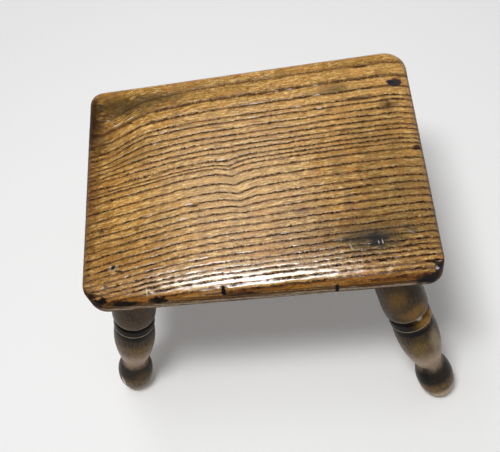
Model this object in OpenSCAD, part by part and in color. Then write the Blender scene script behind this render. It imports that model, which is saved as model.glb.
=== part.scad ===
// Fireside stool: one thick plank seat on four turned, splayed legs. Each leg has a round
// tenon in a blind socket under the seat, held by a wedge hidden in the end of the tenon.
// X runs along the grain of the seat, -Y is the worn front edge, the floor is Z = 0.

/* [Seat] */
// Length of the plank along its grain
seat_w = 330; // [300:1:380]
// Depth of the plank at its right-hand end
seat_d = 253; // [235:1:290]
// Thickness of the plank
seat_t = 29.5; // [26:0.5:36]
// Height of the sitting surface above the floor
seat_h = 239; // [225:1:260]
// How far the front edge runs back at its left end
front_slant = 7; // [0:0.5:12]
// How far the back edge runs forward at its left end
back_slant = 2; // [0:0.5:6]
// How far the plank's ends lean to the right, from its back edge to its front edge
end_slant = 2; // [0:0.5:6]
// How far the middle of the plank lies in front of the middle of the legs
seat_forward = 1; // [0:0.5:4]
// How far the middle of the plank lies to the right of the middle of the legs
seat_right = 1; // [0:0.5:4]

/* [Corners and edges] */
// Rounding of the front left corner, seen from above
corner_front_left = 21; // [14:1:34]
// Rounding of the front right corner
corner_front_right = 16; // [14:1:34]
// Rounding of the back right corner
corner_back_right = 24; // [14:1:34]
// Rounding of the back left corner
corner_back_left = 14; // [12:1:34]
// Rounding of the upper edge
top_round = 7; // [3:0.5:10]
// Rounding of the lower edge
bottom_round = 3; // [1:0.5:6]
// How far back from the front edge the wear begins
wear_reach = 36; // [14:1:45]
// How steep the worn surface has become where it meets the front edge
wear_slope = 20; // [8:1:26]
// Rounding of the worn front edge
front_round = 6; // [3:0.5:8]

/* [Leg positions] */
// Centre of the front left socket, in from the left end
inset_left = 42.5; // [40:0.5:60]
// Centre of the front left socket, back from the middle of the front edge
setback_left = 41.5; // [38:0.5:60]
// Centre of the front right socket, in from the right end
inset_right = 48.5; // [40:0.5:60]
// Centre of the front right socket, back from the middle of the front edge
setback_right = 30.5; // [29:0.5:60]
// Outward lean of the front left leg towards its own end
lean_side_left = 14.5; // [8:0.5:18]
// Forward lean of the front left leg
lean_front_left = 8.5; // [4:0.5:16]
// Outward lean of the front right leg towards its own end
lean_side_right = 14; // [8:0.5:18]
// Forward lean of the front right leg
lean_front_right = 16.9; // [8:0.5:18]

/* [Foot] */
// Radius of the ball foot
ball_r = 19.6; // [17:0.2:23]
// Half length of the ball along the leg, before its end is cut level
ball_half = 36; // [30:0.5:40]
// Height of the widest part of the ball along the leg
ball_mid = 30; // [26:0.5:32]
// Radius of the neck above the ball
neck_r = 13.4; // [11:0.2:15.5]
// Length of the plain neck
neck_l = 1.6; // [0.5:0.1:4]

/* [Baluster] */
// Length of the taper from the neck up to the widest part
taper_l = 51; // [40:1:58]
// Radius of the widest part
swell_r = 22.1; // [18:0.1:24]
// Length of the shoulder from the widest part up to the ring
shoulder_l = 24; // [16:1:28]
// Radius of the notch below the ring
notch_r = 20.1; // [16:0.1:20.5]

/* [Ring and cove] */
// Radius of the ring at its lower lip
ring_r = 21.8; // [21:0.1:24]
// Radius at the top of the ring
ring_top_r = 20.9; // [19.5:0.1:20.9]
// Length of the ring
ring_l = 8; // [5:0.5:10]
// Radius at the bottom of the cove
cove_r = 18.4; // [16:0.1:19.2]
// Length of the cove
cove_l = 8.5; // [6:0.5:11]
// Softening of the turned lips
lip_ease = 0.8; // [0.3:0.1:1.2]

/* [Barrel] */
// Radius at the lower lip of the barrel
barrel_lip_r = 22.1; // [20:0.1:24]
// Radius of the barrel at its widest
barrel_r = 22.8; // [22:0.1:25]
// Distance from the lower lip to the widest part
barrel_belly = 12; // [8:1:24]
// Radius of the barrel where it meets the seat
barrel_top_r = 18.8; // [17:0.1:22]
// How late the barrel narrows towards the seat, where 1 is a plain cone
barrel_bow = 1.4; // [1:0.1:3]

/* [Sockets, tenons and wedges] */
// Radius of the tenon
tenon_r = 12.7; // [10:0.1:14]
// Gap between the tenon and its socket, and between the wedge and its kerf
fit = 0.1; // [0.05:0.05:0.3]
// Least wood left above a socket
cover = 4.5; // [3:0.5:7]
// Space left above the end of a tenon
end_gap = 0.8; // [0.3:0.1:1.5]
// Length of the wedge
wedge_l = 15; // [8:0.5:16]
// Width of the wedge
wedge_w = 23; // [12:0.5:24]
// Thickness of the wedge at its thick end
wedge_butt = 4; // [2.5:0.1:5]
// Thickness of the wedge at its thin end
wedge_tip = 0.9; // [0.5:0.1:1.5]
// Depth of the kerf beyond the thin end of the wedge
kerf_spare = 1.2; // [0.5:0.1:2]

/* [Hidden] */

// Underside of the seat, and the edges of the plank at its right-hand end and middle
underside = seat_h - seat_t;
edge_x = seat_w / 2;
left_end = seat_right - edge_x;
right_end = seat_right + edge_x;
front_y = -seat_forward - seat_d / 2;
back_y = front_y + seat_d;
front_mid_y = front_y + front_slant / 2;
front_turn = atan(front_slant / seat_w);

// Places along the leg, measured from the floor up its axis
neck_from = ball_mid + ball_half * sin(acos(neck_r / ball_r));
taper_from = neck_from + neck_l;
swell_at = taper_from + taper_l;
ring_from = swell_at + shoulder_l;
cove_from = ring_from + ring_l;
barrel_from = cove_from + cove_l;

// Each leg: socket x and y at the underside, lean along the seat, lean across the seat.
// The back pair is the front pair turned half way round about the middle of the legs.
left_x = -left_end - inset_left;
left_y = front_mid_y + setback_left;
right_x = right_end - inset_right;
right_y = front_mid_y + setback_right;
front_left = [-left_x, left_y, lean_side_left, lean_front_left];
front_right = [right_x, right_y, -lean_side_right, lean_front_right];
back_left = [-right_x, -right_y, lean_side_right, -lean_front_right];
back_right = [left_x, -left_y, -lean_side_left, -lean_front_left];

// Slope of the leg's axis across the floor, its tilt from upright and its length
function run_x(leg) = tan(leg[2]);
function run_y(leg) = tan(leg[3]);
function run(leg) = norm([run_x(leg), run_y(leg)]);
function tilt(leg) = atan(run(leg));
function heading(leg) = atan2(run_y(leg), run_x(leg));
function axis_l(leg) = underside / cos(tilt(leg));
function socket_l(leg) = (seat_t - cover - (tenon_r + fit) * sin(tilt(leg))) / cos(tilt(leg));
function tenon_l(leg) = socket_l(leg) - end_gap;

// Half thickness of the wedge at a height above its thin end
function wedge_half(up) = (wedge_tip + (wedge_butt - wedge_tip) * up / wedge_l) / 2;

// Steps of the turned curves
ball_steps = 18;
curve_steps = 10;
small_steps = 6;
round_fn = 96;
corner_fn = 48;

// Curves of the turned outline, as [radius, height] points
function steps(count) = [for (k = [0 : count]) k / count];
function settle(from, to, u) = to - (to - from) * pow(1 - u, 2);
function ball_curve() = [
    for (u = steps(ball_steps))
    let (a = -90 + u * (90 + acos(neck_r / ball_r)))
    [ball_r * cos(a), ball_mid + ball_half * sin(a)]
];
function taper_curve() = [
    for (u = steps(curve_steps)) [settle(neck_r, swell_r, u), taper_from + taper_l * u]
];
function shoulder_curve() = [
    for (u = steps(small_steps)) if (u > 0)
    [settle(notch_r, swell_r, 1 - u), swell_at + shoulder_l * u]
];
function ring_curve() = [
    [ring_r - lip_ease, ring_from],
    [ring_r, ring_from + lip_ease],
    [ring_top_r, cove_from]
];
cove_end_r = barrel_lip_r - lip_ease;
cove_dip = (ring_top_r + cove_end_r) / 2 - cove_r;
function cove_curve() = [
    for (u = steps(small_steps)) if (u > 0)
    [ring_top_r + (cove_end_r - ring_top_r) * u - cove_dip * sin(180 * u), cove_from + cove_l * u]
];
function barrel_curve(top) = concat(
    [for (u = steps(small_steps)) if (u > 0)
        [settle(barrel_lip_r, barrel_r, u), barrel_from + barrel_belly * u]],
    [for (u = steps(small_steps)) if (u > 0)
        let (from = barrel_from + barrel_belly)
        [barrel_r - (barrel_r - barrel_top_r) * pow(u, barrel_bow), from + (top - from) * u]]
);
function leg_outline(top, spare) = concat(
    ball_curve(), taper_curve(), shoulder_curve(), ring_curve(), cove_curve(),
    [[barrel_lip_r, barrel_from + lip_ease]], barrel_curve(top),
    [[barrel_top_r, top + spare], [0, top + spare]]
);

// Puts a shape that stands on the origin onto a leg's sloping axis, from the floor up
module at_leg(leg) {
    translate([leg[0] - run_x(leg) * underside, leg[1] - run_y(leg) * underside, 0])
        rotate([0, 0, heading(leg)])
            rotate([0, tilt(leg), 0])
                rotate([0, 0, -heading(leg)])
                    children();
}

// One rounded corner of the plank, with its upper and lower edges rounded
module plank_corner(x, y, r) {
    translate([x, y, underside])
        rotate_extrude($fn = corner_fn)
            polygon(concat(
                [[0, 0]],
                [for (u = steps(small_steps)) let (a = -90 + 90 * u)
                    [r + bottom_round * (cos(a) - 1), bottom_round * (1 + sin(a))]],
                [for (u = steps(small_steps)) let (a = 90 * u)
                    [r + top_round * (cos(a) - 1), seat_t + top_round * (sin(a) - 1)]],
                [[0, seat_t]]
            ));
}

// Outline of the worn front, as [distance back from the front edge, height above underside]
wear_end = front_round * (1 - sin(wear_slope));
wear_drop = tan(wear_slope) * (wear_reach - wear_end) / 2;
wear_centre = seat_t - wear_drop - front_round * cos(wear_slope);
function wear_curve() = concat(
    [for (u = steps(curve_steps))
        [wear_reach - (wear_reach - wear_end) * u, seat_t - wear_drop * pow(u, 2)]],
    [for (u = steps(small_steps)) if (u > 0) let (a = wear_slope + (90 - wear_slope) * u)
        [front_round * (1 - sin(a)), wear_centre + front_round * cos(a)]]
);

// The wood that use has taken off the front upper edge
module front_wear() {
    translate([seat_right, front_mid_y, underside])
        rotate([0, 0, -front_turn])
            translate([-seat_w, 0, 0])
                rotate([90, 0, 90])
                    linear_extrude(2 * seat_w)
                        polygon(concat(
                            wear_curve(),
                            [[-wear_reach, wear_centre], [-wear_reach, 2 * seat_t],
                             [wear_reach, 2 * seat_t]]
                        ));
}

// A blind hole drilled up into the seat along the leg's axis
module socket(leg) {
    lead_in = (tenon_r + fit) * tan(tilt(leg)) + fit;
    at_leg(leg)
        translate([0, 0, axis_l(leg) - lead_in])
            cylinder(r = tenon_r + fit, h = socket_l(leg) + lead_in, $fn = round_fn);
}

module seat() {
    color("peru")
        difference() {
            hull() {
                plank_corner(left_end + end_slant / 2 + corner_front_left,
                    front_y + front_slant + corner_front_left, corner_front_left);
                plank_corner(right_end + end_slant / 2 - corner_front_right,
                    front_y + corner_front_right, corner_front_right);
                plank_corner(right_end - end_slant / 2 - corner_back_right,
                    back_y - corner_back_right, corner_back_right);
                plank_corner(left_end - end_slant / 2 + corner_back_left,
                    back_y - back_slant - corner_back_left, corner_back_left);
            }
            front_wear();
            for (leg = [front_left, front_right, back_left, back_right]) socket(leg);
        }
}

// The saw cut in the end of the tenon, opened by the wedge. It runs across the seat's grain.
module kerf(leg) {
    at_leg(leg)
        translate([0, 0, axis_l(leg) + socket_l(leg) - fit - wedge_l])
            rotate([90, 0, 0])
                translate([0, 0, -2 * tenon_r])
                    linear_extrude(4 * tenon_r)
                        polygon([
                            [-wedge_half(0) - fit, -kerf_spare],
                            [wedge_half(0) + fit, -kerf_spare],
                            [wedge_half(0) + fit, 0],
                            [wedge_half(2 * wedge_l) + fit, 2 * wedge_l],
                            [-wedge_half(2 * wedge_l) - fit, 2 * wedge_l],
                            [-wedge_half(0) - fit, 0]
                        ]);
}

// A turned leg with its foot cut level and its shoulder cut to lie flat under the seat
module turned_leg(leg) {
    spare = barrel_r * tan(tilt(leg)) + fit;
    color("dimgray")
        difference() {
            union() {
                intersection() {
                    at_leg(leg)
                        rotate_extrude($fn = round_fn)
                            polygon(leg_outline(axis_l(leg), spare));
                    translate([-seat_w, -seat_w, 0]) cube([2 * seat_w, 2 * seat_w, underside]);
                }
                at_leg(leg)
                    translate([0, 0, axis_l(leg) - barrel_belly])
                        cylinder(r = tenon_r, h = barrel_belly + tenon_l(leg), $fn = round_fn);
            }
            kerf(leg);
        }
}

// The wedge stands on the blind end of the socket and spreads the tenon
module wedge(leg) {
    color("tan")
        at_leg(leg)
            translate([0, 0, axis_l(leg) + socket_l(leg) - fit - wedge_l])
                rotate([90, 0, 0])
                    translate([0, 0, -wedge_w / 2])
                        linear_extrude(wedge_w)
                            polygon([
                                [-wedge_half(0), 0],
                                [wedge_half(0), 0],
                                [wedge_half(wedge_l), wedge_l],
                                [-wedge_half(wedge_l), wedge_l]
                            ]);
}

seat();
turned_leg(front_left);  // leg_front_left
turned_leg(front_right);  // leg_front_right
turned_leg(back_left);  // leg_back_left
turned_leg(back_right);  // leg_back_right
wedge(front_left);  // wedge_front_left
wedge(front_right);  // wedge_front_right
wedge(back_left);  // wedge_back_left
wedge(back_right);  // wedge_back_right
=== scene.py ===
import math

import bmesh
import bpy
import numpy as np
from mathutils import Matrix, Vector, noise


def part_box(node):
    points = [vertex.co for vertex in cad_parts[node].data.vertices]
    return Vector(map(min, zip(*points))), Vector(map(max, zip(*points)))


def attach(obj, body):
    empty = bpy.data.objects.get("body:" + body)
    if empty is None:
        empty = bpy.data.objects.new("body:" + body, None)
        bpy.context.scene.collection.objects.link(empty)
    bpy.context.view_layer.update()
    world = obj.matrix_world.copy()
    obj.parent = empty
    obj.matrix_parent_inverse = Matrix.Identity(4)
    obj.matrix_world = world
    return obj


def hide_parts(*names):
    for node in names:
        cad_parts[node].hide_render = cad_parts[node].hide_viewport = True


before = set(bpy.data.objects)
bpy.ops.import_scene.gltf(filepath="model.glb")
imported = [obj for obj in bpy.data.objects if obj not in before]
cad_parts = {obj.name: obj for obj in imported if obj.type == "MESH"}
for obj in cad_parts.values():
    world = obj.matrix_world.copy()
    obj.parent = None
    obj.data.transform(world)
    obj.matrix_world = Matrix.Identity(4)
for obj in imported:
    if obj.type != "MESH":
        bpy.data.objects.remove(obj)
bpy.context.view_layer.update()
mm = 0.001
seatLow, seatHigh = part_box("seat")
seatTop = seatHigh.z / mm
seatThick = (seatHigh.z - seatLow.z) / mm
print("frame loaded")


# Node trees are written as sums. A Field is what a node puts out, and adding, subtracting,
# multiplying or dividing fields makes the node that works it out
class Field:
    def __init__(self, socket):
        self.socket = socket

    def __add__(self, other):
        return calc("ADD", self, other)

    def __sub__(self, other):
        return calc("SUBTRACT", self, other)

    def __rsub__(self, other):
        return calc("SUBTRACT", other, self)

    def __mul__(self, other):
        return calc("MULTIPLY", self, other)

    def __truediv__(self, other):
        return calc("DIVIDE", self, other)

    def __abs__(self):
        return calc("ABSOLUTE", self)


def plug(value, socket):
    # a field is linked, any other value is set
    if isinstance(value, Field):
        socket.id_data.links.new(value.socket, socket)
    else:
        socket.default_value = value


def addNode(tree, kind, inputs=None, **settings):
    node = tree.nodes.new(kind)
    for name, value in settings.items():
        setattr(node, name, value)
    for name, value in (inputs or {}).items():
        plug(value, node.inputs[name])
    return node


def output(tree, kind, name, inputs=None, **settings):
    # a new node's output, by name or number
    return Field(addNode(tree, kind, inputs, **settings).outputs[name])


def treeOf(*values):
    return next(value.socket.id_data for value in values if isinstance(value, Field))


def calc(operation, *values, clamp=False):
    return output(treeOf(*values), "ShaderNodeMath", 0, dict(enumerate(values)),
                  operation=operation, use_clamp=clamp)


def vectorCalc(operation, *values):
    return output(treeOf(*values), "ShaderNodeVectorMath", "Value" if operation == "LENGTH" else "Vector",
                  dict(enumerate(values)), operation=operation)


def parts(vector):
    return [Field(socket) for socket in addNode(treeOf(vector), "ShaderNodeSeparateXYZ", {0: vector}).outputs]


def joined(x=0.0, y=0.0, z=0.0):
    return output(treeOf(x, y, z), "ShaderNodeCombineXYZ", 0, {"X": x, "Y": y, "Z": z})


def ramp(value, low, high, start=0.0, end=1.0, curve="SMOOTHSTEP"):
    return output(treeOf(value), "ShaderNodeMapRange", "Result",
                  {"Value": value, "From Min": low, "From Max": high, "To Min": start, "To Max": end},
                  interpolation_type=curve)


def noiseAt(place, stretch, detail=3.0, rough=0.55):
    # stretch is the size of one blotch along each axis, in millimetres
    spread = vectorCalc("MULTIPLY", place, tuple(1 / (size * mm) for size in stretch))
    return output(treeOf(place), "ShaderNodeTexNoise", "Fac",
                  {"Vector": spread, "Scale": 1.0, "Detail": detail, "Roughness": rough})


def paint(red, green, blue):
    # a colour written as it looks on a screen, from 0 to 255
    def linear(level):
        level /= 255
        return level / 12.92 if level <= 0.04045 else ((level + 0.055) / 1.055) ** 2.4
    return (linear(red), linear(green), linear(blue), 1.0)


def blend(factor, first, second):
    return output(treeOf(factor, first, second), "ShaderNodeMix", 2, {0: factor, 6: first, 7: second},
                  data_type="RGBA")


def cover(colour, mask, shade):
    return blend(mask, colour, paint(*shade))


def toneRamp(value, *stops):
    # colours at rising values; each stop is (value, colour)
    node = addNode(treeOf(value), "ShaderNodeValToRGB", {"Fac": value})
    elements = node.color_ramp.elements
    while len(elements) < len(stops):
        elements.new(1.0)
    for element, (at, colour) in zip(elements, stops):
        element.position = at
        element.color = paint(*colour)
    return Field(node.outputs["Color"])


def fields(node):
    return {socket.name: Field(socket) for socket in node.outputs}


def newGroup(name, inputs, outputs):
    # inputs are (name, kind, value), and the outputs are masks
    tree = bpy.data.node_groups.new(name, "ShaderNodeTree")
    for label, kind, value in inputs:
        socket = tree.interface.new_socket(label, in_out="INPUT", socket_type="NodeSocket" + kind)
        socket.default_value = value
    for label in outputs:
        tree.interface.new_socket(label, in_out="OUTPUT", socket_type="NodeSocketFloat")
    return tree, fields(tree.nodes.new("NodeGroupInput")), tree.nodes.new("NodeGroupOutput").inputs


def useGroup(tree, group, inputs):
    return fields(addNode(tree, "ShaderNodeGroup", inputs, node_tree=group))


def newMaterial(name):
    material = bpy.data.materials.new(name)
    material.use_nodes = True
    tree = material.node_tree
    return material, tree, tree.nodes["Principled BSDF"]


def finishMaterial(shader, colour, roughness, height, constants, strength=1.0, distance=mm):
    # the height is in millimetres, unless another distance is given
    plug(colour, shader.inputs["Base Color"])
    plug(roughness, shader.inputs["Roughness"])
    bump = {"Height": height, "Strength": strength, "Distance": distance}
    plug(output(shader.id_data, "ShaderNodeBump", "Normal", bump), shader.inputs["Normal"])
    for name, value in constants.items():
        shader.inputs[name].default_value = value


def addObject(name, data):
    item = bpy.data.objects.new(name, data)
    bpy.context.scene.collection.objects.link(item)
    return item


# Camera
view = {"place": (0.07196, -0.42524, 0.87554), "turn": 11.59, "height": 59.764,
        "roll": -16.783, "lens": 57.455}


def addCamera():
    data = bpy.data.cameras.new("camera")
    data.lens = view["lens"]
    data.sensor_width = 36
    data.clip_start = 0.02
    camera = addObject("camera", data)
    aim = (Matrix.Rotation(math.radians(view["turn"]), 4, "Z")
           @ Matrix.Rotation(math.radians(90 - view["height"]), 4, "X")
           @ Matrix.Rotation(math.radians(view["roll"]), 4, "Z"))
    camera.matrix_world = Matrix.Translation(view["place"]) @ aim
    bpy.context.scene.camera = camera


# Lights: three soft lamps in a row overhead, brightest in front, and a sky that is palest at the
# horizon; sizes and places in metres
lighting = {
    "lamps": {
        "frontLamp": {"at": (-0.18, -0.30, 1.75), "size": (0.46, 0.29), "watts": 16.0},
        "middleLamp": {"at": (-0.18, 0.20, 1.75), "size": (0.46, 0.56), "watts": 3.2},
        "backLamp": {"at": (-0.18, 0.80, 1.63), "size": (0.42, 0.5), "watts": 1.9},
    },
    "skyAbove": 0.14, "skyHorizon": 1.1, "skyRise": (0.2, 0.6),
    "floor": (250, 250, 250), "floorHalf": 20.0, "backdrop": (0.5, 2.0),
}


def addLamp(name, lamp, aim):
    data = bpy.data.lights.new(name, "AREA")
    data.shape = "RECTANGLE"
    data.size, data.size_y = lamp["size"]
    data.energy = lamp["watts"]
    light = addObject(name, data)
    light.location = lamp["at"]
    light.rotation_euler = (Vector(aim) - light.location).to_track_quat("-Z", "Y").to_euler()


def addWorld():
    world = bpy.data.worlds.new("world")
    bpy.context.scene.world = world
    world.use_nodes = True
    tree = world.node_tree
    tree.nodes.clear()
    upward = parts(output(tree, "ShaderNodeTexCoord", "Generated"))[2]
    strength = ramp(upward, *lighting["skyRise"], lighting["skyHorizon"], lighting["skyAbove"])
    sky = output(tree, "ShaderNodeBackground", 0, {"Color": (1, 1, 1, 1), "Strength": strength})
    plug(sky, addNode(tree, "ShaderNodeOutputWorld").inputs[0])


def addFloor():
    mesh = bpy.data.meshes.new("floor")
    half = lighting["floorHalf"]
    mesh.from_pydata([(-half, -half, 0), (half, -half, 0), (half, half, 0), (-half, half, 0)],
                     [], [(0, 1, 2, 3)])
    floor = addObject("floor", mesh)
    material, tree, shader = newMaterial("paleFloor")
    plug(paint(*lighting["floor"]), shader.inputs["Base Color"])
    plug(0.8, shader.inputs["Roughness"])
    # well away from the stool the floor is seen as plain white, as a studio backdrop is
    rays = fields(addNode(tree, "ShaderNodeLightPath"))
    seen = calc("MAXIMUM", rays["Is Camera Ray"],
                calc("MAXIMUM", rays["Is Glossy Ray"], rays["Is Transmission Ray"]))
    away = vectorCalc("LENGTH", output(tree, "ShaderNodeTexCoord", "Object"))
    backdrop = output(tree, "ShaderNodeEmission", 0, {"Color": (1, 1, 1, 1), "Strength": 1.0})
    mixed = output(tree, "ShaderNodeMixShader", 0, {
        0: seen * ramp(away, *lighting["backdrop"]), 1: Field(shader.outputs[0]), 2: backdrop})
    plug(mixed, tree.nodes["Material Output"].inputs["Surface"])
    mesh.materials.append(material)


bpy.context.scene.view_settings.view_transform = "Standard"
addCamera()
for lampName, lamp in lighting["lamps"].items():
    addLamp(lampName, lamp, (0, 0, seatHigh.z))
addWorld()
addFloor()
print("camera, lights and floor made")


# Shader groups that the woods share
def makeFibreGroup():
    # fine streaks and short dark pores that run along the first axis of Place
    tree, given, out = newGroup(
        "woodFibre",
        [("Place", "Vector", (0, 0, 0)), ("Streak Length", "Float", 30.0), ("Streak Width", "Float", 0.9),
         ("Pore Length", "Float", 3.0), ("Pore Width", "Float", 0.35)],
        ["Streaks", "Pores"])

    def stretched(length, width, detail):
        along, across = calc("DIVIDE", 1000.0, length), calc("DIVIDE", 1000.0, width)
        spread = vectorCalc("MULTIPLY", given["Place"], joined(along, across, across))
        return output(tree, "ShaderNodeTexNoise", "Fac",
                      {"Vector": spread, "Scale": 1.0, "Detail": detail, "Roughness": 0.6})

    plug(stretched(given["Streak Length"], given["Streak Width"], 4.0), out["Streaks"])
    pores = stretched(given["Pore Length"], given["Pore Width"], 1.0)
    plug(ramp(pores, 0.58, 0.70), out["Pores"])
    return tree


def makeSpotGroup():
    # a ragged soft-edged patch: 1 inside, 0 outside; all places and sizes in millimetres
    tree, given, out = newGroup(
        "softSpot",
        [("Place", "Vector", (0, 0, 0)), ("Centre", "Vector", (0, 0, 0)), ("Size", "Vector", (10, 10, 10)),
         ("Turn", "Float", 0.0), ("Blur", "Float", 0.5), ("Ragged", "Float", 0.3), ("Grit", "Float", 0.5)],
        ["Mask"])
    turned = output(tree, "ShaderNodeVectorRotate", 0, {
        "Vector": given["Place"], "Center": given["Centre"], "Angle": given["Turn"] * -1.0},
        rotation_type="Z_AXIS")
    away = vectorCalc("SUBTRACT", turned, given["Centre"])
    far = vectorCalc("LENGTH", vectorCalc("DIVIDE", away, given["Size"]))
    far += (given["Grit"] - 0.5) * given["Ragged"] * 3.0
    plug(ramp(far, 1.0 - given["Blur"], given["Blur"] + 1.0, 1.0, 0.0), out["Mask"])
    return tree


woodFibre = makeFibreGroup()
softSpot = makeSpotGroup()


# Seat: one plank whose upper surface is worn along its growth rings. Sizes in millimetres
seat = {
    "cornerFrontLeft": 21, "cornerFrontRight": 16, "cornerBackRight": 24, "cornerBackLeft": 14,
    "frontSlant": 7, "backSlant": 2, "endSlant": 2,
    "topRound": 7, "bottomRound": 3,
    "wearReach": 36, "wearSlope": 20, "frontRound": 6,
    "ringWidths": (5, 5, 6, 5, 5, 5.5, 7, 7, 7.5, 7, 8, 8, 7.5, 7.5, 7.5, 9.5, 10, 10.5,
                   7.5, 5, 5, 7, 5.5, 7, 6.5, 7.5, 9, 5.5, 11.5, 13.3, 17.2, 32),
    "firstRing": -127, "ringLean": 1.1,
    "grooveDepth": 0.6, "grooveNear": 0.55, "grooveFar": 2.2,
    # how the rings bend: the left end sweeps forward, the back rings turn at its corner, the
    # middle dips, and the rings right of it rise and lift at the end; a pair is where it fades in
    "sweepFrom": -55, "sweepSlope": 0.1, "sweepEase": 30, "sweepShift": 0.5, "sweepRings": (-125, -65),
    "backRings": (20, 61), "backLess": 0.3, "backTurn": 14, "backTurnEnd": (-97, -150),
    "dip": 6, "dipAt": -20, "dipDrift": 15 / 62, "dipRing": 12, "dipReach": 9, "dipBlunt": 2,
    "dipBehind": (40, 8), "dipBefore": (-70, -15),
    "hump": 1.9, "humpRing": 16, "humpReach": 5, "humpEnd": (5, -35),
    "rise": 1, "riseMore": 1.3, "riseRing": -20, "riseReach": 40, "riseEnd": (-5, 90),
    "lift": 3.6, "liftEnd": (142, 165), "liftRings": (-110, 30),
    # uneven rings and surface: swing, blotch and seed of each wave
    "ringWaves": ((1.3, (38, 26, 30), 3), (0.9, (12, 8, 9), 5), (0.6, (4.5, 5, 6), 9)),
    "surfaceWaves": ((0.35, (70, 45, 40), 21), (0.2, (10, 6, 7), 23), (0.14, (5, 3, 4), 25)),
    "columns": 176, "rows": 384, "rim": 8, "coarser": 4, "wallSteps": 7,
}
# holes, knocks and nicks: middle (with its height where it is on an edge), half sizes, depth, turn
dents = {
    "nailHole": ((-132.5, -88.5), (1.9, 1.7), 1.6, 0),
    "slit": ((-127, -93), (2.6, 1.0), 0.9, -12),
    "frontLeftKnock": ((-140, -107), (1.2, 2.2), 0.5, 0),
    "knot": ((149, 82), (6.5, 4.6), 0.7, 0),
    "pinKnot": ((160, 2), (3.0, 2.4), 0.6, 0),
    "stainKnock": ((114, -93), (1.4, 2.4), 0.5, 0),
    "rightKnock": ((140, -86), (3.5, 1.2), 0.45, -30),
    "leftScratch": ((-129, 77), (9, 0.9), 0.5, 28),
    "leftKnock": ((-118, 75), (3.5, 0.9), 0.5, -28),
    "deepGroove": ((-55, -33), (4.5, 1.3), 0.7, 8),
    "cornerNick": ((-143, -118, 232), (3.0, 3.0, 3.0), 1.2, 0),
    "frontNickA": ((-31, -121, 231), (1.6, 4.0, 4.0), 1.6, 0),
    "frontNickB": ((-6, -123, 227), (2.0, 3.0, 2.2), 1.1, 0),
    "frontSplit": ((70.5, -125, 220), (1.5, 4.0, 6.0), 1.2, 0),
    "frontLossA": ((-92, -121, 226), (9, 4.0, 3.0), 0.9, 0),
    "frontLossB": ((-123, -120, 226), (11, 4.0, 3.4), 0.9, 0),
    "rightLoss": ((150, -126, 222), (8, 4.0, 6.0), 0.9, 0),
}


def smooth(low, high, x):
    u = np.clip((x - low) / (high - low), 0, 1)
    return u * u * (3 - 2 * u)


def wave(x, y, z, size, seed):
    # even noise from 0 to 1 at each point, with blotches of that size in millimetres
    points = np.stack([np.asarray(x) / size[0] + seed, np.asarray(y) / size[1] - seed,
                       np.asarray(z) / size[2] + 0.37 * seed], axis=1)
    return np.array([0.5 + 0.5 * noise.noise(Vector(p)) for p in points])


def cornerCircles():
    # centre and radius of each rounded corner in millimetres, front left first, anticlockwise
    low, high = seatLow / mm, seatHigh / mm
    s = seat
    radii = (s["cornerFrontLeft"], s["cornerFrontRight"], s["cornerBackRight"], s["cornerBackLeft"])
    centres = (
        (low.x + s["endSlant"] + radii[0], low.y + s["frontSlant"] + radii[0]),
        (high.x - radii[1], low.y + radii[1]),
        (high.x - s["endSlant"] - radii[2], high.y - radii[2]),
        (low.x + radii[3], high.y - s["backSlant"] - radii[3]),
    )
    return [(np.array(c), r) for c, r in zip(centres, radii)]


def rowShares(count):
    # the rows of the sheet lie closer together at the front, where the light picks out the relief
    t = np.linspace(0, 1, count + 1)
    return t * (0.75 + 0.5 * t) / 1.25


def sideSamples(corner, shares):
    # places along one side, from the middle of one corner to the middle of the next,
    # as (centre, radius, outward normal) rows
    circles = cornerCircles()
    (c0, r0), (c1, r1) = circles[corner], circles[(corner + 1) % 4]
    along = c1 - c0
    facing = math.atan2(along[1], along[0]) - math.acos((r0 - r1) / np.hypot(*along))
    start = math.radians(225 + 90 * corner)
    end = start + math.pi / 2
    while facing < start:
        facing += 2 * math.pi
    cut = seat["rim"] / 2
    lengths = ((r0 - cut) * (facing - start), np.hypot(*along), (r1 - cut) * (end - facing))
    total = sum(lengths)
    rows = []
    for share in shares[:-1]:
        far = total * share
        if far < lengths[0]:
            angle = start + (facing - start) * far / lengths[0]
            c, r = c0, r0
        elif far < lengths[0] + lengths[1]:
            run = (far - lengths[0]) / lengths[1]
            angle = facing
            c, r = c0 + run * along, r0 + run * (r1 - r0)
        else:
            angle = facing + (end - facing) * (far - lengths[0] - lengths[1]) / lengths[2]
            c, r = c1, r1
        rows.append((c[0], c[1], r, math.cos(angle), math.sin(angle)))
    return np.array(rows)


def outline(samples, inset):
    reach = samples[:, 2] - inset
    return samples[:, :2] + reach[:, None] * samples[:, 3:5]


def frontDistance(x, y):
    # how far a point lies behind the worn front line
    low, high = seatLow / mm, seatHigh / mm
    turn = math.atan(seat["frontSlant"] / (high.x - low.x - seat["endSlant"]))
    middle = low.y + seat["frontSlant"] / 2
    return (y - middle) * math.cos(turn) + (x - (low.x + high.x) / 2) * math.sin(turn)


def wearDrop(t):
    slope = math.radians(seat["wearSlope"])
    r = seat["frontRound"]
    end = r * (1 - math.sin(slope))
    fall = math.tan(slope) * (seat["wearReach"] - end) / 2
    curve = fall * (np.clip(seat["wearReach"] - t, 0, None) / (seat["wearReach"] - end)) ** 2
    nose = fall + r * math.cos(slope) - np.sqrt(np.clip(r * r - (r - np.clip(t, 0, r)) ** 2, 0, None))
    return np.where(t < end, nose, curve)


def roundDrop(inset, r):
    return r - np.sqrt(np.clip(r * r - np.clip(r - inset, 0, r) ** 2, 0, None))


def topDrop(x, y, inset):
    return np.maximum(roundDrop(inset, seat["topRound"]), wearDrop(frontDistance(x, y)))


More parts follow.
